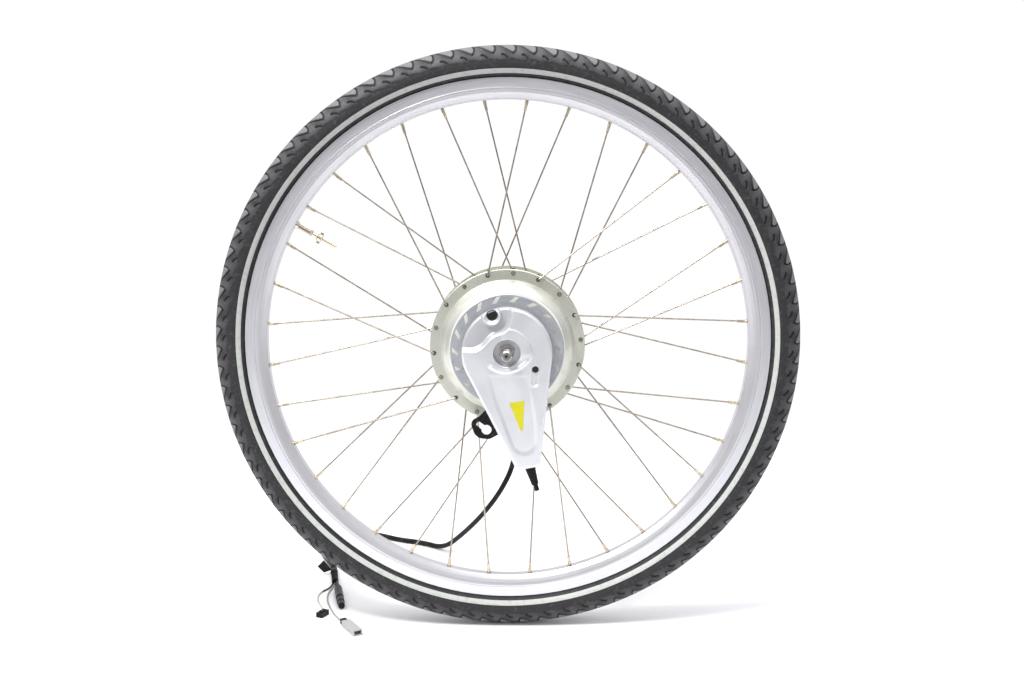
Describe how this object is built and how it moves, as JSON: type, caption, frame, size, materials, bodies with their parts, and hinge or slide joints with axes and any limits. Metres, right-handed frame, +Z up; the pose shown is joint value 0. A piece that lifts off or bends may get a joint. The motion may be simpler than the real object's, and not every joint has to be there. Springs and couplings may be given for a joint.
{
  "type": "hub motor wheel",
  "caption": "Spoked bicycle rear wheel with a gearless motor in its hub, a roller brake with a teardrop cover and reaction arm, a tyre on a double-walled rim and a cable with connectors.",
  "frame": {"origin": "centre of the wheel, on the axle, midway between the dropout faces", "axes": "+Y along the axle from the brake side to the drive side, +Z up as the wheel stands, +X to the right seen from the brake side"},
  "size_m": [0.7097, 0.4413, 0.7103],
  "materials": {
    "tyre_rubber": "matte, dusty, light reflective band on each sidewall",
    "butyl_rubber": "matte",
    "rim_tape": "woven",
    "rim_aluminium": "machined and anodised",
    "nickel_brass": "nickel plated",
    "spoke_steel": "drawn stainless",
    "nipple_nickel": "nickel plated",
    "hub_anodised": "satin pale champagne anodised",
    "steel_zinc": "zinc plated",
    "rotor_iron": "plain steel ring",
    "magnet": "nickel plated",
    "lamination_steel": "stacked laminations",
    "copper_enamel": "enamelled copper wire",
    "cast_aluminium": "as cast",
    "circuit_board": "solder mask",
    "wire_black": "insulation",
    "bearing_steel": "ground",
    "rubber_black": "matte",
    "axle_steel": "zinc plated, threaded ends",
    "brake_steel": "machined",
    "disc_steel": "pressed sheet, grey",
    "bush_brass": "turned",
    "cover_silver": "silver paint, satin",
    "label_yellow": "blank sticker",
    "bracket_black": "black coating",
    "tube_black": "cable tube",
    "cable_black": "PVC sheath",
    "wire_grey": "insulation",
    "wire_white": "insulation",
    "sleeve_black": "ribbed",
    "plug_black": "moulded",
    "clear_plastic": "translucent nylon",
    "tape_black": "tape"
  },
  "bodies": {
    "axle_assembly": {"arm_bracket": "bracket_black", "axle": "axle_steel", "axle_spacers": "axle_steel", "bearing_inner_races": "bearing_steel", "brake_cable_boot": "rubber_black", "brake_cable_tube": "tube_black", "brake_cover": "cover_silver", "cable_core": "cable_black", "cable_grommet": "rubber_black", "cable_sleeve": "sleeve_black", "cam_bush": "bush_brass", "clear_connector": "clear_plastic", "connector_seal": "plug_black", "cover_label": "label_yellow", "grease_plug": "rubber_black", "locknuts": "steel_zinc", "motor_cable": "cable_black", "phase_board": "circuit_board", "phase_leads": "wire_black", "power_plug": "plug_black", "roller_guide": "steel_zinc", "shoe_return_spring": "bearing_steel", "signal_connector": "plug_black", "signal_wire_1": "wire_white", "signal_wire_2": "wire_grey", "stator_carrier": "cast_aluminium", "stator_core": "lamination_steel", "stator_windings": "copper_enamel", "tape_flag": "tape_black"},
    "wheel": {"tyre": "tyre_rubber", "inner_tube": "butyl_rubber", "rim_tape": "rim_tape", "rim": "rim_aluminium", "valve_stem": "nickel_brass", "valve_rim_nut": "nickel_brass", "valve_core": "nickel_brass", "valve_retaining_nut": "nickel_brass", "left_spokes": "spoke_steel", "right_spokes": "spoke_steel", "nipples": "nipple_nickel", "hub_shell": "hub_anodised", "motor_cover": "hub_anodised", "motor_cover_screws": "steel_zinc", "rotor_ring": "rotor_iron", "magnets": "magnet", "bearing_outer_races": "bearing_steel", "hub_seals": "rubber_black", "brake_drum": "brake_steel", "brake_drum_clip": "bearing_steel", "cooling_disc": "disc_steel"},
    "left_ball_set": {"left_bearing_balls": "bearing_steel"},
    "right_ball_set": {"right_bearing_balls": "bearing_steel"},
    "brake_cam": {"brake_cam": "brake_steel"},
    "shoe_1": {"brake_shoe_1": "brake_steel", "brake_rollers_1": "bearing_steel"},
    "shoe_2": {"brake_shoe_2": "brake_steel", "brake_rollers_2": "bearing_steel"},
    "shoe_3": {"brake_shoe_3": "brake_steel", "brake_rollers_3": "bearing_steel"}
  },
  "joints": [
    {"name": "wheel_spin", "type": "hinge", "parent": "axle_assembly", "child": "wheel", "pos_m": [0, 0, 0], "axis": [0, 1, 0], "continuous": true},
    {"name": "left_ball_set_spin", "type": "hinge", "parent": "axle_assembly", "child": "left_ball_set", "pos_m": [0, -0.036, 0], "axis": [0, 1, 0], "continuous": true},
    {"name": "right_ball_set_spin", "type": "hinge", "parent": "axle_assembly", "child": "right_ball_set", "pos_m": [0, 0.036, 0], "axis": [0, 1, 0], "continuous": true},
    {"name": "brake_cam_turn", "type": "hinge", "parent": "axle_assembly", "child": "brake_cam", "pos_m": [0, -0.054, 0], "axis": [0, 1, 0], "range_deg": [0, 16], "stiffness_Nm_per_rad": 1.5},
    {"name": "shoe_1_slide", "type": "slide", "parent": "axle_assembly", "child": "shoe_1", "axis": [0, 0, 1], "range_m": [0, 0.0004]},
    {"name": "shoe_2_slide", "type": "slide", "parent": "axle_assembly", "child": "shoe_2", "axis": [0.866, 0, -0.5], "range_m": [0, 0.0004]},
    {"name": "shoe_3_slide", "type": "slide", "parent": "axle_assembly", "child": "shoe_3", "axis": [-0.866, 0, -0.5], "range_m": [0, 0.0004]}
  ],
  "couplings": [
    {"joint": "left_ball_set_spin", "follows": "wheel_spin", "ratio": 0.6021},
    {"joint": "right_ball_set_spin", "follows": "wheel_spin", "ratio": 0.6021},
    {"joint": "shoe_1_slide", "follows": "brake_cam_turn", "m_per_rad": 0.00143},
    {"joint": "shoe_2_slide", "follows": "brake_cam_turn", "m_per_rad": 0.00143},
    {"joint": "shoe_3_slide", "follows": "brake_cam_turn", "m_per_rad": 0.00143}
  ]
}
